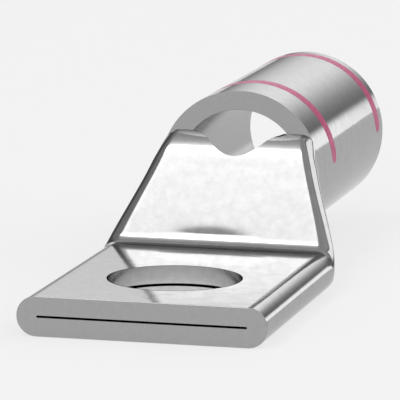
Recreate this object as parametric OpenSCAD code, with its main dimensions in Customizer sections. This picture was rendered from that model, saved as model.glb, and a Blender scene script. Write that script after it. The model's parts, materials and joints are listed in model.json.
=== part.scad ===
// Compression cable lug formed from one piece of tin-plated copper tube.
// One end of the tube is left round as the wire barrel. The other end is pressed
// flat into a two-layer tongue and drilled for a stud. Between them the upper wall
// climbs as a flat ramp and stops short of the barrel's top, which leaves an
// inspection window onto the end of the bore.
// Origin: centre of the stud hole on the tongue's mounting face.
// +Y runs from the stud hole towards the barrel's mouth, +Z is up.

/* [Barrel] */
// Outside diameter of the wire barrel
barrel_d = 12.98; // [11:0.02:15]
// Diameter of the bore that takes the conductor
bore_d = 9.94; // [8:0.02:10.8]
// Length of the barrel from the window to the mouth
barrel_len = 24; // [12:0.5:45]
// Height of the barrel's lowest line above the mounting face
barrel_rise = 1.26; // [0:0.02:2.5]

/* [Tongue] */
// Width of the tongue
tongue_w = 18.8; // [16:0.1:24]
// Thickness of the tongue, both layers together
tongue_t = 2.98; // [2.2:0.02:4]
// Distance from the stud hole's centre to the tongue's free end
end_dist = 9.57; // [7.5:0.1:14]
// Diameter of the stud hole
stud_hole_d = 10.15; // [5:0.05:13]
// Height of the seam left between the two layers
seam_h = 0.17; // [0.1:0.01:0.4]
// Width of the seam, from fold to fold
seam_w = 15.74; // [13:0.02:16]

/* [Ramp] */
// Distance from the stud hole's centre to the barrel's front face
hole_to_barrel = 20.12; // [18:0.1:30]
// Angle of the ramp's flat face above the tongue
ramp_angle = 54; // [45:0.5:60]
// Height of the ramp's upper edge above the mounting face
shoulder_h = 10.98; // [10:0.05:12]
// Slope that is left at the ramp's upper edge, where the face rolls over
shoulder_slope = 22; // [12:0.5:30]
// Outside radius of the roll-over below the upper edge
shoulder_r = 5; // [3:0.1:6]
// Radius of the inside bend where the ramp leaves the tongue
bend_r = 1.6; // [0.5:0.05:2.2]
// Distance ahead of the bends at which the sides start to draw in
lead_in = 0.2; // [0.1:0.05:2]
// How gently the sides start and stop drawing in, from straight at 0 to eased at 1
side_ease = 0.8; // [0:0.05:1]
// Width of the rounded corner between the ramp's face and its sides, at the top
shoulder_round = 1.8; // [1:0.02:2.2]
// How square that corner is at the top, from an ellipse at 2 upwards
corner_power = 2.6; // [2:0.1:4]

/* [Window] */
// Radius of the notch in the ramp's upper edge
notch_r = 2.9; // [1.5:0.05:3.4]
// Depth of the notch, measured level from the barrel's front face
notch_depth = 2.1; // [1:0.05:2.4]
// Radius that blends the notch into the upper edge
notch_blend_r = 3.05; // [0.5:0.05:3.5]

/* [Smoothness] */
// Sections along each formed stretch of the transition
stretch_steps = 6; // [3:1:8]
// Points round each quarter of a section
quarter_steps = 9; // [5:1:12]

/* [Hidden] */
barrel_r = barrel_d/2;
bore_r = bore_d/2;
barrel_wall = barrel_r-bore_r;
layer_t = (tongue_t-seam_h)/2;
axis_z = barrel_rise+barrel_r;
tongue_end_y = -end_dist;
front_y = hole_to_barrel;
mouth_y = front_y+barrel_len;
// How far a shape runs on into its neighbour, so that the two join or cut cleanly
bite = 0.5;
// How far inside its neighbour's surface a formed stretch starts and ends
tuck = 0.02;
// Share of the way to the barrel at which the sides start to close on its circle
settle_from = 0.8;
// How far the bore reaches past the barrel's front face
bore_relief = 0.1;
cut_through = 1;
round_fn = 96;

// Centre of the roll-over below the ramp's upper edge
roll_y = front_y+shoulder_r*sin(shoulder_slope);
roll_z = shoulder_h-shoulder_r*cos(shoulder_slope);

// Half the width of the open bore at the height of the ramp's upper edge
opening_x = sqrt(max(bore_r*bore_r-pow(shoulder_h-axis_z, 2), 1));

// The ramp's line in side view: along a floor, round a bend, up a slope, over a roll.
// The outside and the inside of the wall share the roll's centre and the angle.
function slope_y(roll_r) = roll_y-roll_r*sin(ramp_angle);
function slope_z(roll_r) = roll_z+roll_r*cos(ramp_angle);
function foot_y(floor_z, roll_r) = slope_y(roll_r)-(slope_z(roll_r)-floor_z)/tan(ramp_angle);
function bend_y(floor_z, foot_r, roll_r) = foot_y(floor_z, roll_r)-foot_r*tan(ramp_angle/2);
function bend_end_y(floor_z, foot_r, roll_r) = bend_y(floor_z, foot_r, roll_r)+foot_r*sin(ramp_angle);
function ramp_z(y, floor_z, foot_r, roll_r) =
    y <= bend_y(floor_z, foot_r, roll_r) ? floor_z
    : y <= bend_end_y(floor_z, foot_r, roll_r)
    ? floor_z+foot_r-sqrt(foot_r*foot_r-pow(y-bend_y(floor_z, foot_r, roll_r), 2))
    : y <= slope_y(roll_r) ? slope_z(roll_r)-(slope_y(roll_r)-y)*tan(ramp_angle)
    : roll_z+sqrt(roll_r*roll_r-pow(roll_y-y, 2));

// Where the wall's outside and its inside start to bend
outer_bend_y = bend_y(tongue_t, bend_r, shoulder_r);
inner_bend_y = bend_y(layer_t+seam_h, bend_r+layer_t, shoulder_r-barrel_wall);

// Where the sides start to draw in, and the share of the way from there to the barrel
form_y = min(outer_bend_y, inner_bend_y)-lead_in;
function way(y) = max(0, min(1, (y-form_y)/(front_y-form_y)));
function mix(a, b, t) = a+(b-a)*t;
function ease(t) = t*t*(3-2*t);
function draw(t) = mix(t, ease(t), side_ease);

// Sections that the formed stretch is built on, closer together where it bends
function spread(a, b) = [for (i = [1:stretch_steps]) mix(a, b, i/stretch_steps)];
function stations(floor_z, foot_r, roll_r) = concat(
    [form_y-bite, form_y, mix(form_y, bend_y(floor_z, foot_r, roll_r), 0.5)],
    [for (i = [0:stretch_steps])
        bend_y(floor_z, foot_r, roll_r)+foot_r*sin(ramp_angle*i/stretch_steps)],
    spread(bend_end_y(floor_z, foot_r, roll_r), slope_y(roll_r)),
    spread(slope_y(roll_r), front_y),
    [front_y+bite]);

// One section: a flat top with rounded corners over a bowl.
// half_w is its half width, low and high its lowest and highest lines, wide_z the
// height where it is widest, corner and bowl the widths of its rounded quarters, and
// power how square the corner is.
function power_of(value, power) = sign(value)*pow(abs(value), 2/power);
function quarter(from, first, cx, cz, rx, rz, power) =
    [for (i = [first:quarter_steps])
        let (a = from-90*i/quarter_steps)
        [cx+rx*power_of(cos(a), power), cz+rz*power_of(sin(a), power)]];
function right_half(half_w, low, high, wide_z, corner, bowl, power) = concat(
    quarter(90, 0, half_w-corner, wide_z, corner, high-wide_z, power),
    quarter(0, 1, half_w-bowl, wide_z, bowl, wide_z-low, 2));
function section(half_w, low, high, wide_z, corner, bowl, power) =
    let (half = right_half(half_w, low, high, wide_z, corner, bowl, power))
    concat(half, [for (i = [len(half)-1:-1:0]) [-half[i][0], half[i][1]]]);

// Brings a point that lies beyond the barrel's circle onto it as it nears the barrel
function settled(p, t) =
    let (d = norm([p[0], p[1]-axis_z]), reach = barrel_r-tuck,
        share = ease(max(0, (t-settle_from)/(1-settle_from))))
    d > reach ? mix(p, [p[0]*reach/d, axis_z+(p[1]-axis_z)*reach/d], share) : p;

// The outside and the inside of the tube's wall between tongue and barrel
function outer_section(y) =
    let (t = way(y), wide_z = mix(tongue_t/2, axis_z, t))
    [for (p = section(
        mix(tongue_w/2, barrel_r, draw(t))-tuck,
        mix(0, barrel_rise, ease(t))+tuck,
        ramp_z(y < front_y ? y : front_y, tongue_t, bend_r, shoulder_r)-tuck,
        wide_z,
        mix(tongue_t/2, shoulder_round, t),
        mix(tongue_t/2, barrel_r, t)-2*tuck,
        mix(2, corner_power, t))) settled(p, t)];
function inner_section(y) =
    let (t = way(y), wide_z = mix(tongue_t/2, axis_z, t))
    section(
        mix(seam_w/2, bore_r, draw(t))-tuck,
        mix(layer_t, barrel_rise+barrel_wall, ease(t))+tuck,
        ramp_z(y < front_y ? y : front_y, layer_t+seam_h, bend_r+layer_t, shoulder_r-barrel_wall)-tuck,
        wide_z,
        mix(seam_h/2, barrel_wall/4, t),
        mix(seam_h/2, bore_r, t)-2*tuck,
        2);

// A solid skinned over a list of sections that all have the same number of points
module skinned(sections, ys) {
    count = len(sections[0]);
    rings = len(sections);
    points = [for (k = [0:rings-1]) for (p = sections[k]) [p[0], ys[k], p[1]]];
    walls = [for (k = [0:rings-2]) for (i = [0:count-1])
        let (a = k*count+i, b = k*count+(i+1)%count) each [[a, a+count, b], [b, a+count, b+count]]];
    first_cap = [[for (i = [0:count-1]) i]];
    last_cap = [[for (i = [count-1:-1:0]) (rings-1)*count+i]];
    polyhedron(points, concat(first_cap, walls, last_cap), convexity = 6);
}

// A flat shape drawn across the lug, in X and Z, and run along Y
module along(from_y, to_y) {
    translate([0, to_y, 0])
        rotate([90, 0, 0])
            linear_extrude(to_y-from_y)
                children();
}

// A bar with half-round ends, standing on the mounting face
module rounded_bar(width, height, low) {
    for (side = [-1, 1])
        translate([side*(width-height)/2, low+height/2])
            circle(d = height, $fn = round_fn);
    translate([-(width-height)/2, low])
        square([width-height, height]);
}

module tongue() {
    along(tongue_end_y, form_y)
        rounded_bar(tongue_w, tongue_t, 0);
}

module transition() {
    ys = stations(tongue_t, bend_r, shoulder_r);
    skinned([for (y = ys) outer_section(y)], ys);
}

module barrel() {
    along(front_y, mouth_y)
        translate([0, axis_z])
            circle(r = barrel_r, $fn = round_fn);
}

// The bore runs right through the barrel and opens into the window
module bore() {
    along(front_y-bore_relief, mouth_y+cut_through)
        translate([0, axis_z])
            circle(r = bore_r, $fn = round_fn);
}

// The hollow under the ramp, which closes down to the seam between the layers
module hollow() {
    ys = stations(layer_t+seam_h, bend_r+layer_t, shoulder_r-barrel_wall);
    skinned([for (y = ys) inner_section(y)], ys);
}

module seam() {
    along(tongue_end_y-cut_through, form_y)
        rounded_bar(seam_w, seam_h, layer_t);
}

module stud_hole() {
    translate([0, 0, -cut_through])
        cylinder(r = stud_hole_d/2, h = tongue_t+2*cut_through, $fn = round_fn);
}

// The notch is a round cut whose corners are blended into the upper edge. It is cut
// only over the open bore, and leaves the wall beside the bore whole.
module notch_outline() {
    centre_y = front_y-notch_depth+notch_r;
    blend_y = front_y-notch_blend_r;
    blend_x = sqrt(pow(notch_r+notch_blend_r, 2)-pow(centre_y-blend_y, 2));
    intersection() {
        difference() {
            union() {
                translate([0, centre_y])
                    circle(r = notch_r, $fn = round_fn);
                polygon([[0, centre_y], [blend_x, blend_y], [blend_x, centre_y+notch_r],
                    [-blend_x, centre_y+notch_r], [-blend_x, blend_y]]);
            }
            for (side = [-1, 1])
                translate([side*blend_x, blend_y])
                    circle(r = notch_blend_r, $fn = round_fn);
        }
        translate([-opening_x, front_y-2*notch_depth])
            square([2*opening_x, 2*notch_depth]);
    }
}

module notch() {
    translate([0, 0, axis_z-bore_r/2])
        linear_extrude(shoulder_h)
            notch_outline();
}

module lug() {
    color("silver")
        difference() {
            union() {
                tongue();
                transition();
                barrel();
            }
            bore();
            hollow();
            seam();
            stud_hole();
            notch();
        }
}

lug();
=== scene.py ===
import json
import math

import bmesh
import bpy
from mathutils import Matrix, Vector

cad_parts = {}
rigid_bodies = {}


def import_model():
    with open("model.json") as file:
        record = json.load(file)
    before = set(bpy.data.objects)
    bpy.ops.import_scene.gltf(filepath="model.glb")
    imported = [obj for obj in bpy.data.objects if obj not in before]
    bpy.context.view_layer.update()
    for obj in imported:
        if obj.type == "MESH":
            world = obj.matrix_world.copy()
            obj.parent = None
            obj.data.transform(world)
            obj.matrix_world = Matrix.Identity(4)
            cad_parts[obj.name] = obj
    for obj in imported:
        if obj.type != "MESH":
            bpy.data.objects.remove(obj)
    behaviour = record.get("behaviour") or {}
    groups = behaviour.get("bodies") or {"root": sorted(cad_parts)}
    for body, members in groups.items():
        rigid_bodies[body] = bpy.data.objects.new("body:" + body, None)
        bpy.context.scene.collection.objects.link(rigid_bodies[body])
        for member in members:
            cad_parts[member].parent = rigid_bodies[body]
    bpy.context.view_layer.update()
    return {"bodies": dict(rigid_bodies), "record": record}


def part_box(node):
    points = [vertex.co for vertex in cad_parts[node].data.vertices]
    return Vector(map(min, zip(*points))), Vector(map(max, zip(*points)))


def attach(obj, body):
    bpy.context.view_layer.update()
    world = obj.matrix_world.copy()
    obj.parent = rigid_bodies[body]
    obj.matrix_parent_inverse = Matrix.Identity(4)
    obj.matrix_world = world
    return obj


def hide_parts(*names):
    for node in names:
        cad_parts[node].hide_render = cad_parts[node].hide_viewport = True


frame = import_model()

# The lug's lengths are in millimetres, in the part's own frame. Its objects are scaled to metres.
MM = 0.001

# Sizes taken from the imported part
low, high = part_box("lug")
mounts = {m["name"]: m for m in frame["record"]["mounts"]}
TONGUE_END_Y = low[1]/MM
MOUTH_Y = high[1]/MM
TONGUE_W = (high[0]-low[0])/MM
STUD_R = mounts["stud_hole"]["dims"]["r_mm"]
TONGUE_T = mounts["stud_hole"]["dims"]["length_mm"]
BORE_R = mounts["wire_bore"]["dims"]["r_mm"]
AXIS_Z = mounts["wire_bore"]["pos_m"][2]/MM
BARREL_R = high[2]/MM-AXIS_Z
BARREL_LEN = mounts["wire_bore"]["dims"]["length_mm"]
FRONT_Y = MOUTH_Y-BARREL_LEN
WALL = BARREL_R-BORE_R

# Sizes of the formed stretch between tongue and barrel, as in the part's source
SEAM_H = 0.17
SEAM_W = 15.74
RAMP_ANGLE = math.radians(54)
SHOULDER_H = 10.98
SHOULDER_SLOPE = math.radians(22)
SHOULDER_R = 5.0
BEND_R = 1.6
LEAD_IN = 0.2
SIDE_EASE = 0.8
SHOULDER_ROUND = 1.8
CORNER_POWER = 2.6
NOTCH_R = 2.9
NOTCH_DEPTH = 2.1
NOTCH_BLEND_R = 3.05
LAYER_T = (TONGUE_T-SEAM_H)/2

# Only here: the share of the bore's half width over which the notch's edge meets the front plane
NOTCH_FADE = 0.15

# A shallow press mark low on the ramp: its place and half width, its length up the ramp, the
# length of its steep lower side and its depth
MARK_X = -0.85
MARK_HALF_W = 4.9
MARK_LEN = 0.78
MARK_LIP = 0.085
MARK_DEPTH = 0.055

# Printed bands round the barrel. The skin is drawn in by the ink's thickness, so that the ink
# reaches the barrel's radius. The ink's edge and its underside lie a little below the skin. Its
# top is flatter across the higher INK_FLATNESS is, and steeper at its ends with INK_TIP_RISE.
INK_T = 0.012
INK_EDGE = 0.004
INK_ROOT = 0.03
INK_FLATNESS = 6
INK_TIP_RISE = 4
BAND_W = 1.55
BAND_REACH = math.radians(88.5)
FRONT_BAND_Y = FRONT_Y+5.4
REAR_BAND_Y = MOUTH_Y-1.95
SKIN_R = BARREL_R-INK_T

# How finely each stretch of the skin is divided
NOTCH_STEPS = 96
LEDGE_STEPS = 6
CROWN_STEPS = 14
SIDE_STEPS = 44
LEAD_STEPS = 2
BEND_STEPS = 16
SLOPE_STEPS = 48
ROLL_STEPS = 16
ARC_STEPS = 72
HOLE_STEPS = 160
TONGUE_STEPS = 16
BARREL_STEPS = 8
BAND_STEPS = 160
BAND_ROWS = 8

# For spacing points evenly: samples along a line, and the run that a radian of turn counts as
FINE_SAMPLES = 480
TURN_WEIGHT = 4.0

# Edges: how wide they are broken, and the strip beside them that leaves room for it, which takes
# no more than a share of a narrow face
EDGE_BREAK = 0.06
EDGE_SEGMENTS = 3
COLLAR = 0.1
COLLAR_SHARE = 0.3
SHARP_ANGLE = math.radians(35)

# Rows along the barrel near each end, by their distance from it, and up the hole's wall, by share
NEAR_END = (0, COLLAR, 0.4, 1.2)
HOLE_ROWS = (0, 0.25, 0.75, 1)

# Share of the edge break along thin lips, and the angle over which it fades at the front's corners
LIP_SHARE = 0.35
HIP_FADE = math.radians(12)

# Points closer than this are welded into one, and the length that counts as nothing
WELD = 0.002
TINY = 1e-9

# Places down a side of the tube are numbers, up to these along the corner, the bowl and the bottom
CORNER_DONE, BOWL_DONE, SIDE_DONE = 1, 2, 3

# Finishes of the lug's faces, in the order of its material slots
DRAWN, CUT, PUNCHED, BORED = 0, 1, 2, 3


def mix(a, b, t):
    return a+(b-a)*t


def clamp(t):
    return max(0.0, min(1.0, t))


def ease(t):
    t = clamp(t)
    return t*t*(3-2*t)


def steps(a, b, count):
    """Evenly spaced values after a, up to and including b."""
    return [mix(a, b, i/count) for i in range(1, count+1)]


def even_cuts(total, count):
    """Cuts a running total into even parts: for each cut, its sample and the share to the next."""
    cuts, k = [], 0
    for i in range(1, count):
        want = total[-1]*i/count
        while total[k+1] < want:
            k += 1
        cuts.append((k, (want-total[k])/(total[k+1]-total[k])))
    return cuts


def circle(radius, angle, y):
    """A point round the barrel's axis, at an angle clockwise from the top."""
    return (radius*math.sin(angle), y, AXIS_Z+radius*math.cos(angle))


def top_angle(point):
    return math.atan2(point[0], point[2]-AXIS_Z)


class Wall:
    """One skin of the tube between tongue and barrel, outside or inside."""

    # The roll at the ramp's top
    roll_y = FRONT_Y+SHOULDER_R*math.sin(SHOULDER_SLOPE)
    roll_z = SHOULDER_H-SHOULDER_R*math.cos(SHOULDER_SLOPE)
    # Share of the way at which the sides start to close on the barrel's circle
    settle_from = 0.75
    # Above this angle the rounded corner isn't drawn out to that circle
    crown_free = math.radians(57)

    def __init__(self, half, lowest, floor_z, foot_r, roll_r, corner, bowl, corner_from, power):
        self.half, self.lowest, self.corner, self.bowl = half, lowest, corner, bowl
        self.floor_z, self.foot_r, self.roll_r = floor_z, foot_r, roll_r
        self.corner_from, self.power = corner_from, power
        self.slope_y = self.roll_y-roll_r*math.sin(RAMP_ANGLE)
        self.slope_z = self.roll_z+roll_r*math.cos(RAMP_ANGLE)
        foot_y = self.slope_y-(self.slope_z-floor_z)/math.tan(RAMP_ANGLE)
        self.bend_y = foot_y-foot_r*math.tan(RAMP_ANGLE/2)
        self.bend_end_y = self.bend_y+foot_r*math.sin(RAMP_ANGLE)
        self.first_flat = None

    def top(self, y):
        """Height of the ramp: along a floor, round a bend, up a slope, over a roll."""
        if y <= self.bend_y:
            return self.floor_z
        if y <= self.bend_end_y:
            return self.floor_z+self.foot_r-math.sqrt(self.foot_r**2-(y-self.bend_y)**2)
        if y <= self.slope_y:
            return self.slope_z-(self.slope_y-y)*math.tan(RAMP_ANGLE)
        return self.roll_z+math.sqrt(self.roll_r**2-(self.roll_y-y)**2)

    def size(self, y):
        """Half width, lowest line, ramp height, widest line, corner and bowl widths."""
        t, top = way(y), self.top(y)
        widest = min(mix(TONGUE_T/2, AXIS_Z, t), top-SEAM_H/2)
        return (mix(*self.half, mix(t, ease(t), SIDE_EASE)), mix(*self.lowest, ease(t)), top,
                widest, mix(*self.corner, t), mix(*self.bowl, t))

    def flat(self, y):
        """Half width of the ramp's flat face."""
        half, _, _, _, corner, _ = self.size(y)
        return half-corner

    def settle(self, y, x, z, share):
        """Brings the sides onto the barrel's circle as they reach it, and all that lies beyond it."""
        fit = self.half[1]/math.hypot(x, z-AXIS_Z)
        share = (share if fit > 1 else 1.0)*ease((way(y)-self.settle_from)/(1-self.settle_from))
        scale = mix(1, fit, share)
        return x*scale, AXIS_Z+(z-AXIS_Z)*scale

    def crown(self, y, a):
        """Point on the rounded corner, at angle a above the widest line."""
        half, _, top, widest, corner, _ = self.size(y)
        power = 2/mix(2, self.power, way(y))
        x = half-corner+corner*max(0.0, math.cos(a))**power
        z = widest+(top-widest)*math.sin(a)**power
        free = self.crown_free
        share = ease((free-a)/(free-self.corner_from)) if self.corner_from < free else 1.0
        return self.settle(y, x, z, share)

    def rim(self, y, p):
        """Point at place p down the side: along the corner, round the bowl, then inwards."""
        if p <= CORNER_DONE:
            return self.crown(y, self.corner_from*(1-p))
        half, lowest, _, widest, _, bowl = self.size(y)
        a = math.pi/2*min(1.0, p-CORNER_DONE)
        x, z = half-bowl+bowl*math.cos(a), widest-(widest-lowest)*math.sin(a)
        if p > BOWL_DONE:
            x = (half-bowl)*(SIDE_DONE-p)
        return self.settle(y, x, z, 1.0)

    def places(self, y):
        """Places down the side, closer together where it turns."""
        fine = [SIDE_DONE*i/FINE_SAMPLES for i in range(FINE_SAMPLES+1)]
        points = [self.rim(y, p) for p in fine]
        total, heading = [0.0], None
        for a, b in zip(points, points[1:]):
            run, turn = math.dist(a, b), 0.0
            if run > TINY:
                now = math.atan2(b[1]-a[1], b[0]-a[0])
                if heading is not None:
                    turn = abs(math.remainder(now-heading, math.tau))
                heading = now
            total.append(total[-1]+run+TURN_WEIGHT*turn)
        cuts = [mix(fine[k], fine[k+1], share) for k, share in even_cuts(total, SIDE_STEPS)]
        found = [0.0]+cuts+[SIDE_DONE]
        if y <= FORM_Y:
            found[self.flat_place()] = BOWL_DONE
        return found

    def flat_place(self):
        """Which place on the first ring is where the bowl ends and the flat bottom begins."""
        if self.first_flat is None:
            found = self.places(FORM_Y+TINY)
            self.first_flat = min(range(len(found)), key=lambda i: abs(found[i]-BOWL_DONE))
        return self.first_flat


outer = Wall(
    half=(TONGUE_W/2, SKIN_R), lowest=(0, AXIS_Z-SKIN_R), floor_z=TONGUE_T, foot_r=BEND_R,
    roll_r=SHOULDER_R, corner=(TONGUE_T/2, SHOULDER_ROUND), bowl=(TONGUE_T/2, SKIN_R),
    corner_from=math.radians(50), power=CORNER_POWER)
inner = Wall(
    half=(SEAM_W/2, BORE_R), lowest=(LAYER_T, AXIS_Z-BORE_R), floor_z=LAYER_T+SEAM_H,
    foot_r=BEND_R+LAYER_T, roll_r=SHOULDER_R-WALL, corner=(SEAM_H/2, WALL/4),
    bowl=(SEAM_H/2, BORE_R), corner_from=math.radians(90), power=2)
FORM_Y = min(outer.bend_y, inner.bend_y)-LEAD_IN


def way(y):
    """Share of the way from the tongue to the barrel."""
    return clamp((y-FORM_Y)/(FRONT_Y-FORM_Y))


# Half width of the bore where the ramp's upper edge crosses it
CHORD = math.sqrt(BORE_R**2-(outer.top(FRONT_Y)-AXIS_Z)**2)
CHORD_ANGLE = math.asin(CHORD/BORE_R)

# Where the ramp's rounded corner ends on the barrel's front face
hip_x, hip_z = outer.crown(FRONT_Y, outer.corner_from)
HIP_ANGLE = top_angle((hip_x, FRONT_Y, hip_z))


def notch_y(x):
    """The ramp's upper edge: a round notch blended into the barrel's front plane."""
    centre = FRONT_Y-NOTCH_DEPTH+NOTCH_R
    blend_y = FRONT_Y-NOTCH_BLEND_R
    blend_x = math.sqrt((NOTCH_R+NOTCH_BLEND_R)**2-(centre-blend_y)**2)
    x = abs(x)
    if x <= blend_x*NOTCH_R/(NOTCH_R+NOTCH_BLEND_R):
        return centre-math.sqrt(NOTCH_R**2-x**2)
    y = blend_y+math.sqrt(NOTCH_BLEND_R**2-(x-blend_x)**2)
    return mix(y, FRONT_Y, ease((x-(1-NOTCH_FADE)*CHORD)/(NOTCH_FADE*CHORD)))


def notch_plan():
    """Evenly spaced points along the ramp's upper edge, from one side of the bore to the other."""
    xs = [CHORD*(2*i/FINE_SAMPLES-1) for i in range(FINE_SAMPLES+1)]
    fine = [(x, notch_y(x)) for x in xs]
    total = [0.0]
    for a, b in zip(fine, fine[1:]):
        total.append(total[-1]+math.dist(a, b))
    between = [mix(xs[k], xs[k+1], share) for k, share in even_cuts(total, NOTCH_STEPS)]
    return [fine[0]]+[(x, notch_y(x)) for x in between]+[fine[-1]]


def columns_of(wall, plan):
    """Columns of the ramp's flat face: the share of its width, and where each column ends."""
    middle = [(x/wall.flat(y), y) for x, y in plan]
    right = [(e, FRONT_Y) for e in steps(middle[-1][0], 1, LEDGE_STEPS)]
    return [(-e, y) for e, y in reversed(right)]+middle+right


def rows_of(wall):
    """Rows from the tongue to the barrel, closer together where the ramp bends."""
    return ([FORM_Y]+steps(FORM_Y, wall.bend_y, LEAD_STEPS)
            + [wall.bend_y+wall.foot_r*math.sin(a) for a in steps(0, RAMP_ANGLE, BEND_STEPS)]
            + steps(wall.bend_end_y, wall.slope_y, SLOPE_STEPS)
            + steps(wall.slope_y, FRONT_Y, ROLL_STEPS))


def press_mark(wall, x, y):
    """Depth of the shallow mark that the press leaves at the foot of the ramp."""
    up = y-wall.bend_end_y
    if not 0 < up < MARK_LEN:
        return 0.0
    across = 1-clamp(abs(x-MARK_X)/MARK_HALF_W)
    return MARK_DEPTH*ease(across)*clamp(up/MARK_LIP)*(1-up/MARK_LEN)**2


def formed_rings(wall, plan, crown_steps, marked=False):
    """Closed rings of points from the tongue to the barrel."""
    columns = columns_of(wall, plan)
    crown = steps(math.pi/2, wall.corner_from, crown_steps)
    rings = []
    for y in rows_of(wall):
        past = clamp((y-wall.bend_end_y)/(FRONT_Y-wall.bend_end_y))
        flat = []
        for e, end in columns:
            at = mix(wall.bend_end_y, end, past) if past > 0 else y
            x, z = e*wall.flat(at), wall.top(at)
            if marked:
                mark = press_mark(wall, x, at)
                at, z = at+mark*math.sin(RAMP_ANGLE), z-mark*math.cos(RAMP_ANGLE)
            flat.append((x, at, z))
        if not crown:
            x, z = wall.crown(y, math.pi/2)
            flat[0], flat[-1] = (-x, y, z), (x, y, z)
        right = [wall.crown(y, a) for a in crown]
        right += [wall.rim(y, p) for p in wall.places(y)[1:]]
        rings.append(flat+[(x, y, z) for x, z in right]
                     + [(-x, y, z) for x, z in reversed(right[:-1])])
    return rings


def inset(loop, distance):
    """A closed outline moved inwards, or outwards if the distance is negative."""
    area = sum(a[0]*b[1]-b[0]*a[1] for a, b in zip(loop, loop[1:]+loop[:1]))
    side = math.copysign(distance, area)
    moved = []
    for i, (x, y) in enumerate(loop):
        (ax, ay), (bx, by) = loop[i-1], loop[(i+1) % len(loop)]
        before, after = math.hypot(x-ax, y-ay), math.hypot(bx-x, by-y)
        n1 = (-(y-ay)/before, (x-ax)/before)
        n2 = (-(by-y)/after, (bx-x)/after)
        lean = 1+n1[0]*n2[0]+n1[1]*n2[1]
        moved.append((x+side*(n1[0]+n2[0])/lean, y+side*(n1[1]+n2[1])/lean))
    return moved


def add_object(name, data):
    made = bpy.data.objects.new(name, data)
    bpy.context.scene.collection.objects.link(made)
    return made


class Skin:
    """Collects grids and flat faces, welds them into one closed mesh and marks its edges."""

    def __init__(self):
        self.bm = bmesh.new()

    def grid(self, rows, closed=False, finish=DRAWN):
        """Faces between rows of points. A closed grid joins the ends of its rows too."""
        made = [[self.bm.verts.new(p) for p in row] for row in rows]
        count = len(rows[0])
        for near, far in zip(made, made[1:]):
            for i in range(count if closed else count-1):
                j = (i+1) % count
                face = self.bm.faces.new((near[i], near[j], far[j], far[i]))
                face.material_index = finish

    def plate(self, outline, hole, hole_collar, place, finish=DRAWN):
        """A flat face with a hole. A collar along each outline leaves room to break its edge."""
        edges = []
        for loop, distance in ((outline, COLLAR), (hole, -hole_collar)):
            moved = inset(loop, distance)
            self.grid([[place(*p) for p in loop], [place(*p) for p in moved]], True, finish)
            ring = [self.bm.verts.new(place(*p)) for p in moved]
            edges += [self.bm.edges.new(pair) for pair in zip(ring, ring[1:]+ring[:1])]
        made = bmesh.ops.triangle_fill(self.bm, use_beauty=True, edges=edges)
        for item in made["geom"]:
            if isinstance(item, bmesh.types.BMFace):
                item.material_index = finish

    def close(self, name, weight_of):
        """The finished object. weight_of gives the share of the edge break at a place."""
        bm = self.bm
        bmesh.ops.remove_doubles(bm, verts=bm.verts, dist=WELD)
        bmesh.ops.dissolve_degenerate(bm, dist=WELD/4, edges=bm.edges)
        bmesh.ops.recalc_face_normals(bm, faces=bm.faces)
        weight = bm.edges.layers.float.new("bevel_weight_edge")
        for edge in bm.edges:
            angle = edge.calc_face_angle_signed(0)
            if abs(angle) > SHARP_ANGLE:
                a, b = edge.verts
                share = weight_of((a.co+b.co)/2) if angle > 0 else 0
                edge[weight] = share
                edge.smooth = share > 0
        for face in bm.faces:
            face.smooth = True
        bmesh.ops.scale(bm, vec=(MM, MM, MM), verts=bm.verts)
        mesh = bpy.data.meshes.new(name)
        bm.to_mesh(mesh)
        bm.free()
        return add_object(name, mesh)


def tongue(skin, ring_out, ring_in, flat_count):
    """The tongue's two layers, from the first rings of the formed stretch to the free end."""
    ys = [TONGUE_END_Y, TONGUE_END_Y+COLLAR]+steps(TONGUE_END_Y+COLLAR, FORM_Y, TONGUE_STEPS)
    turns = [math.tau*i/HOLE_STEPS for i in range(HOLE_STEPS)]
    hole = [(STUD_R*math.sin(a), STUD_R*math.cos(a)) for a in turns]

    def parts(wall, ring, crown_steps):
        """The ring's flat top, right end, flat bottom and left end, as points in X and Z."""
        first = flat_count-1
        turn = first+crown_steps+wall.flat_place()
        back = len(ring)-(turn-first)
        flat = [(x, z) for x, _, z in ring]
        return (flat[:flat_count], flat[first:turn+1], flat[turn:back+1], flat[back:]+flat[:1])

    def face(flat_edge, z):
        """One side of a layer: the outline along the rows and round the end, with the hole."""
        line = [(x, FORM_Y) for x, _ in flat_edge]
        sides = [(line[-1][0], y) for y in reversed(ys[:-1])]
        far = [(line[0][0], y) for y in ys[:-1]]
        skin.plate(line+sides+far, hole, COLLAR, lambda x, y: (x, y, z))

    out_top, out_right, out_bottom, out_left = parts(outer, ring_out, CROWN_STEPS)
    in_top, in_right, in_bottom, in_left = parts(inner, ring_in, 0)
    for profile in (out_right, out_left, in_right, in_left):
        skin.grid([[(x, y, z) for x, z in profile] for y in ys])
    face(out_top, TONGUE_T)
    face(out_bottom, 0)
    face(in_top, LAYER_T+SEAM_H)
    face(in_bottom, LAYER_T)
    for z_low, z_high in ((0, LAYER_T), (LAYER_T+SEAM_H, TONGUE_T)):
        heights = [mix(z_low, z_high, share) for share in HOLE_ROWS]
        skin.grid([[(x, y, z) for x, y in hole] for z in heights], True, PUNCHED)
    skin.plate(out_right+out_left, in_right+in_left, COLLAR/2,
               lambda x, z: (x, TONGUE_END_Y, z), CUT)


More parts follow.
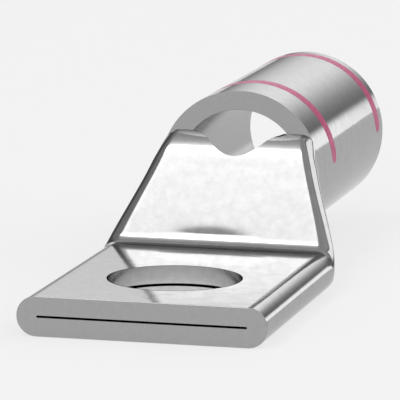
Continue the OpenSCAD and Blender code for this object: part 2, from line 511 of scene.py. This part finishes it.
def barrel(skin, last_out, last_in, flat_count):
    """The barrel with its bore, its two end faces and the edge of its window."""
    # The last rings in stretches: the sides round the bottom, and each corner with its ledge
    hip = flat_count+CROWN_STEPS
    sides_out = last_out[hip-1:len(last_out)-CROWN_STEPS+1]
    sides_in = last_in[flat_count-1:]+last_in[:1]
    right_out = last_out[flat_count-1-LEDGE_STEPS:hip]
    left_out = last_out[len(last_out)-CROWN_STEPS:]+last_out[:LEDGE_STEPS+1]

    # Angles from the top: over the open bore, and on from there to the sides
    arc = steps(-CHORD_ANGLE, CHORD_ANGLE, ARC_STEPS)[:-1]
    crown_out = [top_angle(p) for p in right_out]
    crown_in = [CHORD_ANGLE]+steps(CHORD_ANGLE, top_angle(sides_in[0]), LEDGE_STEPS+CROWN_STEPS)

    def over(crown):
        return [-a for a in reversed(crown)]+arc+crown

    def loop(sides, radius, crown, y):
        return [(x, y, z) for x, _, z in sides]+[circle(radius, a, y) for a in over(crown)[1:-1]]

    ys = ([FRONT_Y+s for s in NEAR_END]
          + steps(FRONT_Y+NEAR_END[-1], MOUTH_Y-NEAR_END[-1], BARREL_STEPS)[:-1]
          + [MOUTH_Y-s for s in reversed(NEAR_END)])
    skin.grid([loop(sides_out, SKIN_R, crown_out, y) for y in ys], True)
    skin.grid([loop(sides_in, BORE_R, crown_in, y) for y in ys], True, BORED)
    skin.grid([loop(sides_in, BORE_R, crown_in, MOUTH_Y), loop(sides_out, SKIN_R, crown_out, MOUTH_Y)],
              True, CUT)
    front_face(skin, [circle(SKIN_R, a, FRONT_Y) for a in over(crown_out)],
               left_out+[circle(BORE_R, a, FRONT_Y) for a in arc]+right_out)
    window_edge(skin, [circle(BORE_R, a, FRONT_Y) for a in crown_in], last_out, last_in, flat_count)


def front_face(skin, outside, inside):
    """The barrel's front face, from its circle in to the ramp's corners and the bore."""
    def between(share_of):
        pairs = [(Vector(a), Vector(b)) for a, b in zip(outside, inside)]
        return [a.lerp(b, share_of((a-b).length)) for a, b in pairs]

    def collar(width):
        return min(COLLAR_SHARE, COLLAR/max(width, TINY))

    skin.grid([outside, between(collar), between(lambda width: 1-collar(width)), inside], finish=CUT)


def window_edge(skin, bore, last_out, last_in, flat_count):
    """The ramp's cut edge across the bore, and the pieces of its back beside the bore."""
    edge_out = last_out[LEDGE_STEPS:flat_count-LEDGE_STEPS]
    edge_in = last_in[LEDGE_STEPS:flat_count-LEDGE_STEPS]
    cut = [[Vector(a).lerp(Vector(b), i/CROWN_STEPS) for a, b in zip(edge_out, edge_in)]
           for i in range(CROWN_STEPS+1)]
    skin.grid(cut, finish=CUT)
    for side, column, ledge in ((1, -1, last_in[flat_count-LEDGE_STEPS:flat_count]),
                                (-1, 0, last_in[LEDGE_STEPS-1::-1])):
        back = [row[column] for row in cut]+ledge
        skin.grid([[(side*x, y, z) for x, y, z in bore], back], finish=CUT)


def edge_break(place):
    """Share of the full edge break: less at thin lips and where the front face thins out."""
    x, y, z = place
    if y < FORM_Y and abs(z-TONGUE_T/2) < SEAM_H:
        return LIP_SHARE
    if FRONT_Y-NOTCH_DEPTH-WELD < y < FRONT_Y+WELD and abs(x) < CHORD and z > AXIS_Z:
        return LIP_SHARE
    if abs(y-FRONT_Y) < WELD and math.hypot(x, z-AXIS_Z) > (BORE_R+SKIN_R)/2:
        return clamp((HIP_ANGLE-abs(top_angle(place)))/HIP_FADE)
    return 1.0


def lug_body():
    skin = Skin()
    plan = notch_plan()
    outside = formed_rings(outer, plan, CROWN_STEPS, marked=True)
    inside = formed_rings(inner, plan, 0)
    flat_count = NOTCH_STEPS+1+2*LEDGE_STEPS
    skin.grid(outside, True)
    skin.grid(inside, True, BORED)
    tongue(skin, outside[0], inside[0], flat_count)
    barrel(skin, outside[-1], inside[-1], flat_count)
    piece = skin.close("lug_body", edge_break)
    bevel = piece.modifiers.new("edge_break", "BEVEL")
    bevel.limit_method = "WEIGHT"
    bevel.width = EDGE_BREAK*MM
    bevel.segments = EDGE_SEGMENTS
    bevel.use_clamp_overlap = False
    bevel.harden_normals = True
    bevel.miter_outer = "MITER_ARC"
    return piece


def band(name, y):
    """A printed band: a thin strip of ink with rounded ends, lying on the barrel."""
    half_w = BAND_W/2
    half_l = SKIN_R*BAND_REACH
    stops = [half_l*math.sin(math.pi/2*(2*i/BAND_STEPS-1)) for i in range(BAND_STEPS+1)]
    top, under = [], []
    for s in stops:
        past = max(0.0, abs(s)-(half_l-half_w))
        width = math.sqrt(max(0.0, half_w**2-past**2))
        line, base = [], []
        for k in range(BAND_ROWS+1):
            v = 2*k/BAND_ROWS-1
            at = y+width*math.sin(math.pi/2*v)
            crest = (1-v**INK_FLATNESS)*clamp(width/half_w*INK_TIP_RISE)
            line.append(circle(SKIN_R-INK_EDGE+(INK_T+INK_EDGE)*crest, s/SKIN_R, at))
            base.append(circle(SKIN_R-INK_ROOT, s/SKIN_R, at))
        top.append(line)
        under.append(base)
    skin = Skin()
    skin.grid(top)
    skin.grid(under)
    skin.grid([[r[0] for r in top], [r[0] for r in under]])
    skin.grid([[r[-1] for r in top], [r[-1] for r in under]])
    return skin.close(name, lambda place: 0)


class Nodes:
    """Short calls for a material's node tree."""

    def __init__(self, name):
        self.material = bpy.data.materials.new(name)
        self.material.use_nodes = True
        self.tree = self.material.node_tree
        self.shader = self.tree.nodes["Principled BSDF"]

    def add(self, kind, settings=(), inputs=()):
        """A new node. Each input is a value, or the output that it is linked to."""
        node = self.tree.nodes.new(kind)
        for key, value in dict(settings).items():
            setattr(node, key, value)
        for key, value in dict(inputs).items():
            if isinstance(value, bpy.types.NodeSocket):
                self.tree.links.new(value, node.inputs[key])
            else:
                node.inputs[key].default_value = value
        return node

    def set(self, key, value):
        self.shader.inputs[key].default_value = value

    def link(self, output, key):
        self.tree.links.new(output, self.shader.inputs[key])

    def surface(self, node):
        self.tree.links.new(node.outputs[0], self.tree.nodes["Material Output"].inputs["Surface"])

    def millimetres(self, scale=(1, 1, 1), turn=(0, 0, 0)):
        """The part's own coordinates in millimetres, stretched and turned."""
        place = self.add("ShaderNodeTexCoord")
        mapped = self.add("ShaderNodeMapping", inputs={
            "Vector": place.outputs["Object"], "Rotation": turn, "Scale": [s/MM for s in scale]})
        return mapped.outputs["Vector"]

    def noise(self, where, scale, detail, rough):
        return self.add("ShaderNodeTexNoise", inputs={
            "Vector": where, "Scale": scale, "Detail": detail, "Roughness": rough}).outputs["Fac"]

    def span(self, value, low, high, out_low, out_high):
        """Maps a value's range onto another, without going past it."""
        return self.add("ShaderNodeMapRange", inputs={
            "Value": value, "From Min": low, "From Max": high,
            "To Min": out_low, "To Max": out_high}).outputs["Result"]

    def colour(self, value, low, high, first, second):
        """The base colour, which goes from the first to the second over a value's range."""
        share = self.span(value, low, high, 0, 1)
        blend = self.add("ShaderNodeMix", {"data_type": "RGBA"}, {
            "Factor": share, 6: (*first, 1), 7: (*second, 1)})
        self.link(blend.outputs[2], "Base Color")

    def roughness(self, value, low, high, smooth, dull):
        self.link(self.span(value, low, high, smooth, dull), "Roughness")

    def bump(self, height, distance, before=None):
        """A height in millimetres laid over the surface, on top of another bump."""
        inputs = {"Height": height, "Strength": 1.0, "Distance": distance*MM}
        if before is not None:
            inputs["Normal"] = before
        return self.add("ShaderNodeBump", inputs=inputs).outputs["Normal"]

    def metal(self, tint):
        """Makes it metal. The tint darkens what it reflects at glancing angles."""
        self.set("Metallic", 1.0)
        self.set("Specular Tint", (tint, tint, tint, 1))


def drawn_tin():
    """Bright tin over drawn and pressed copper: nearly a mirror, with faint waves and rubs."""
    m = Nodes("tinned_copper_drawn")
    where = m.millimetres()
    mottle = m.noise(where, 1.3, 5.0, 0.65)
    grain = m.noise(where, 9.0, 3.0, 0.6)
    m.metal(tint=0.72)
    m.colour(mottle, 0.35, 0.65, (0.425, 0.425, 0.425), (0.475, 0.475, 0.477))
    m.roughness(grain, 0.3, 0.7, 0.06, 0.11)
    waves = m.bump(m.noise(where, 0.55, 2.0, 0.4), 0.004)
    m.link(m.bump(grain, 0.0004, waves), "Normal")
    return m.material


def cut_tin():
    """Tin over sawn faces: the same metal, duller and speckled, with faint strokes across."""
    m = Nodes("tinned_copper_cut")
    speckle = m.noise(m.millimetres(), 2.5, 4.0, 0.6)
    strokes = m.noise(m.millimetres((0.25, 5.0, 5.0), (0, math.radians(4), 0)), 1.6, 3.0, 0.5)
    m.metal(tint=0.72)
    m.colour(speckle, 0.3, 0.7, (0.38, 0.38, 0.38), (0.415, 0.415, 0.417))
    m.roughness(speckle, 0.3, 0.7, 0.2, 0.28)
    m.link(m.bump(strokes, 0.0005, m.bump(speckle, 0.0012)), "Normal")
    return m.material


def punched_tin():
    """Tin over the hole's wall, burnished by the punch in faint upright strokes."""
    m = Nodes("tinned_copper_punched")
    mottle = m.noise(m.millimetres(), 1.8, 4.0, 0.6)
    strokes = m.noise(m.millimetres((4.0, 4.0, 0.3)), 1.5, 3.0, 0.5)
    m.metal(tint=0.9)
    m.colour(mottle, 0.35, 0.65, (0.64, 0.64, 0.64), (0.70, 0.70, 0.702))
    m.roughness(strokes, 0.3, 0.7, 0.14, 0.22)
    m.link(m.bump(strokes, 0.0008), "Normal")
    return m.material


def bored_tin():
    """Tin inside the tube, where nothing has rubbed it bright: soft, with lines along the tube."""
    m = Nodes("tinned_copper_bore")
    mottle = m.noise(m.millimetres(), 1.8, 4.0, 0.6)
    strokes = m.noise(m.millimetres((2.0, 0.1, 2.0)), 1.2, 2.0, 0.5)
    m.metal(tint=0.72)
    m.colour(mottle, 0.35, 0.65, (0.45, 0.45, 0.45), (0.49, 0.49, 0.492))
    m.roughness(mottle, 0.3, 0.7, 0.19, 0.25)
    m.link(m.bump(strokes, 0.0006), "Normal")
    return m.material


def band_ink():
    """Pink marking ink, thin enough for the metal's light and dark to show through."""
    m = Nodes("marking_ink")
    where = m.millimetres()
    cover = m.noise(where, 3.0, 4.0, 0.6)
    m.set("Metallic", 0.15)
    m.set("Specular IOR Level", 0.1)
    m.set("Specular Tint", (0.8, 0.4, 0.55, 1))
    m.colour(cover, 0.3, 0.75, (0.56, 0.10, 0.225), (0.48, 0.08, 0.185))
    m.roughness(cover, 0.3, 0.7, 0.25, 0.4)
    m.link(m.bump(m.noise(where, 14.0, 3.0, 0.6), 0.001), "Normal")
    return m.material


# The studio's lengths are in metres. Directions are from the lug, in degrees: clockwise from +Y
# as seen from above, and up from the horizon. A level is the brightness that the metal sees.
CENTRE = Vector((0, 0.017, 0.006))
WORLD_LEVEL = 0.5
FLOOR_REACH = 4.0
FLOOR_GLOW = 0.7
SWEEP_COLUMNS = 96
SWEEP_ROWS = 48
CEILING_COLUMNS = 90
CEILING_ROWS = 220

# The main window's level above the lug, at places that are metres along Y per metre of height
WINDOW_ROLL = [(-0.42, 2.25), (-0.25, 4.9), (-0.118, 5.6), (-0.105, 1.9), (-0.05, 1.5),
               (0.0, 1.12), (0.09, 0.76), (0.2, 0.62), (0.4, 0.46)]


def rise(value, start, end):
    """Goes evenly from 0 at start to 1 at end, which may lie on either side of it."""
    return clamp((value-start)/(end-start))


def fade(value, start, end):
    """The same with a soft start and end."""
    return ease(rise(value, start, end))


def follow(stops, place):
    """The level at a place, in straight lines from stop to stop and even beyond them."""
    for (a, before), (b, after) in zip(stops, stops[1:]):
        if place <= b:
            return mix(before, after, rise(place, a, b))
    return stops[-1][1]


def facing(obj, right, up, distance):
    """Puts a panel in a direction, square to it and level."""
    turn, tilt = math.radians(right), math.radians(up)
    back = Vector((math.sin(turn)*math.cos(tilt), math.cos(turn)*math.cos(tilt), math.sin(tilt)))
    across = back.cross(Vector((0, 0, 1))).normalized()
    upward = across.cross(back)
    obj.matrix_world = Matrix.Translation(CENTRE+back*distance) @ Matrix(
        (across, upward, back)).transposed().to_4x4()


def softbox(name, right, up, wide, tall, distance, level):
    """A lamp panel in a direction, as wide and tall in degrees as given."""
    data = bpy.data.lights.new(name, "AREA")
    data.shape = "RECTANGLE"
    data.size = 2*distance*math.tan(math.radians(wide)/2)
    data.size_y = 2*distance*math.tan(math.radians(tall)/2)
    data.energy = level*math.pi*data.size*data.size_y
    lamp = add_object(name, data)
    facing(lamp, right, up, distance)
    lamp.visible_camera = False


def glowing_sheet(name, us, vs, place, level_at):
    """A glowing sheet seen only in the metal. place gives a point of it, level_at its level."""
    bm = bmesh.new()
    glow = bm.loops.layers.float_color.new("glow")
    rows = [[bm.verts.new(CENTRE+place(u, v)) for u in us] for v in vs]
    for k in range(len(vs)-1):
        for i in range(len(us)-1):
            face = bm.faces.new((rows[k][i], rows[k][i+1], rows[k+1][i+1], rows[k+1][i]))
            corners = ((us[i], vs[k]), (us[i+1], vs[k]), (us[i+1], vs[k+1]), (us[i], vs[k+1]))
            for loop, (u, v) in zip(face.loops, corners):
                level = level_at(u, v)
                loop[glow] = (level, level, level, 1)
    mesh = bpy.data.meshes.new(name)
    bm.to_mesh(mesh)
    bm.free()
    m = Nodes(name)
    painted = m.add("ShaderNodeVertexColor", {"layer_name": "glow"}).outputs["Color"]
    m.surface(m.add("ShaderNodeEmission", inputs={"Color": painted, "Strength": 1.0}))
    mesh.materials.append(m.material)
    obj = add_object(name, mesh)
    obj.visible_camera = False


def sweep(name, right, up, distance, level_at):
    """An upright sheet on a cylinder round the lug, between two bearings and two elevations."""
    def place(u, v):
        u, v = math.radians(u), math.radians(v)
        return Vector((math.sin(u), math.cos(u), math.tan(v)))*distance

    glowing_sheet(name, [right[0]]+steps(*right, SWEEP_COLUMNS), [up[0]]+steps(*up, SWEEP_ROWS),
                  place, level_at)


def ceiling(name, along_x, along_y, height, level_at):
    """A level sheet above the lug, given in metres along X and Y per metre of height."""
    glowing_sheet(name, [along_x[0]]+steps(*along_x, CEILING_COLUMNS),
                  [along_y[0]]+steps(*along_y, CEILING_ROWS),
                  lambda x, y: Vector((x, y, 1))*height, level_at)


def key_level(x, y):
    """The main window: soft at its sides and its front end, brightest just short of straight up."""
    front_end, front_part = 0.55, 1.86
    left_side, right_side = 0.3, 0.46
    level = mix(front_part, follow(WINDOW_ROLL, y), fade(y, -0.55, -0.505))
    level = mix(front_end, level, fade(y, -0.66, -0.58))
    beside = mix(left_side, right_side, fade(x, -0.6, -0.1))
    return mix(beside, level, fade(x, -0.5, -0.44)*fade(x, -0.11, -0.145))


def back_level(u, v):
    """Bright high up, darker towards the horizon and both ends, with a low lamp on the right."""
    high_up, left_end, right_end, lamp = 1.8, 0.15, 0.25, 2.0
    level = mix(left_end, high_up*fade(v, -5, 20), fade(u, -38, -30))
    level = mix(level, right_end, fade(u, -3, 17.5))
    in_lamp = fade(u, 12.9, 14.3)*fade(u, 22.6, 21.2)*fade(v, -0.3, 0.3)*fade(v, 7.8, 4.4)
    return mix(level, lamp, in_lamp)


def left_level(u, v):
    """Darkest low down beside the lug, dark grey above it and further round to the front."""
    darkest, further_round, above = 0.12, 0.3, 0.36
    return mix(mix(further_round, darkest, fade(u, -98, -86)), above, rise(v, 36, 54))


def right_level(u, v):
    """A large soft window on the right, dark on its left and grey on its right."""
    dark, grey, window = 0.12, 0.3, 1.7
    inside = fade(u, 26, 36)*fade(u, 108, 96)*fade(v, 5, 20)*fade(v, 64, 57)
    return mix(mix(dark, grey, fade(u, 30, 90)), window, inside)


def floor_material():
    """Pale floor: partly its own light, so that it stays near white, and partly lit."""
    m = Nodes("floor")
    m.set("Base Color", (0.8, 0.8, 0.8, 1))
    m.set("Roughness", 0.8)
    m.set("Specular IOR Level", 0.0)
    rays = m.add("ShaderNodeLightPath").outputs
    seen = rays["Is Camera Ray"]
    for kind in ("Is Glossy Ray", "Is Transmission Ray"):
        both = m.add("ShaderNodeMath", {"operation": "ADD", "use_clamp": True}, {0: seen, 1: rays[kind]})
        seen = both.outputs[0]
    share = m.add("ShaderNodeMath", {"operation": "MULTIPLY"}, {0: seen, 1: FLOOR_GLOW})
    white = m.add("ShaderNodeEmission", inputs={"Color": (1, 1, 1, 1), "Strength": 1.0})
    m.surface(m.add("ShaderNodeMixShader", inputs={
        0: share.outputs[0], 1: m.shader.outputs[0], 2: white.outputs[0]}))
    return m.material


def lay_floor():
    reach = FLOOR_REACH
    mesh = bpy.data.meshes.new("floor")
    mesh.from_pydata([(-reach, -reach, 0), (reach, -reach, 0), (reach, reach, 0), (-reach, reach, 0)],
                     [], [(0, 1, 2, 3)])
    mesh.materials.append(floor_material())
    floor = add_object("floor", mesh)


def studio():
    world = bpy.data.worlds.new("studio")
    bpy.context.scene.world = world
    world.use_nodes = True
    sky = world.node_tree.nodes["Background"]
    sky.inputs["Color"].default_value = (WORLD_LEVEL, WORLD_LEVEL, WORLD_LEVEL, 1)
    sky.inputs["Strength"].default_value = 1.0
    lay_floor()
    ceiling("key_sheet", along_x=(-1.1, 0.12), along_y=(-0.8, 0.42), height=1.5, level_at=key_level)
    softbox("front_fill", right=200, up=24, wide=60, tall=20, distance=1.6, level=1.6)
    sweep("back_sheet", right=(-38, 24), up=(-0.2, 26), distance=1.5, level_at=back_level)
    sweep("left_sheet", right=(-122, -37), up=(-0.2, 60), distance=1.52, level_at=left_level)
    sweep("right_sheet", right=(24, 112), up=(3, 66), distance=1.42, level_at=right_level)


# The photograph's camera: its bearing anticlockwise from -Y, elevation and roll, what it looks
# at, how far off it is, and its lens and sensor width
CAMERA_TURN = math.radians(14.3342)
CAMERA_RISE = math.radians(9.7644)
CAMERA_ROLL = math.radians(0.2351)
CAMERA_TARGET = Vector((-2.846, 18.63, 5.634))*MM
CAMERA_DISTANCE = 318.66*MM
CAMERA_LENS = 364.15
CAMERA_SENSOR = 36.0


def camera():
    """Places the photograph's camera."""
    level = Vector((math.cos(CAMERA_TURN), math.sin(CAMERA_TURN), 0))
    back = Vector((math.sin(CAMERA_TURN)*math.cos(CAMERA_RISE),
                   -math.cos(CAMERA_TURN)*math.cos(CAMERA_RISE), math.sin(CAMERA_RISE)))
    right = level*math.cos(CAMERA_ROLL)+back.cross(level)*math.sin(CAMERA_ROLL)
    data = bpy.data.cameras.new("camera")
    data.lens = CAMERA_LENS
    data.sensor_width = CAMERA_SENSOR
    data.clip_start, data.clip_end = 0.01, 20
    made = add_object("camera", data)
    made.matrix_world = Matrix.Translation(CAMERA_TARGET+back*CAMERA_DISTANCE) @ Matrix(
        (right, back.cross(right), back)).transposed().to_4x4()
    bpy.context.scene.camera = made


camera()
studio()

body_name = next(iter(frame["bodies"]))
body = lug_body()
for finish in (drawn_tin, cut_tin, punched_tin, bored_tin):
    body.data.materials.append(finish())
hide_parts("lug")
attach(body, body_name)

ink = band_ink()
for name, y in (("marking_band_front", FRONT_BAND_Y), ("marking_band_rear", REAR_BAND_Y)):
    strip = band(name, y)
    strip.data.materials.append(ink)
    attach(strip, body_name)

bpy.context.scene.view_settings.view_transform = "Standard"
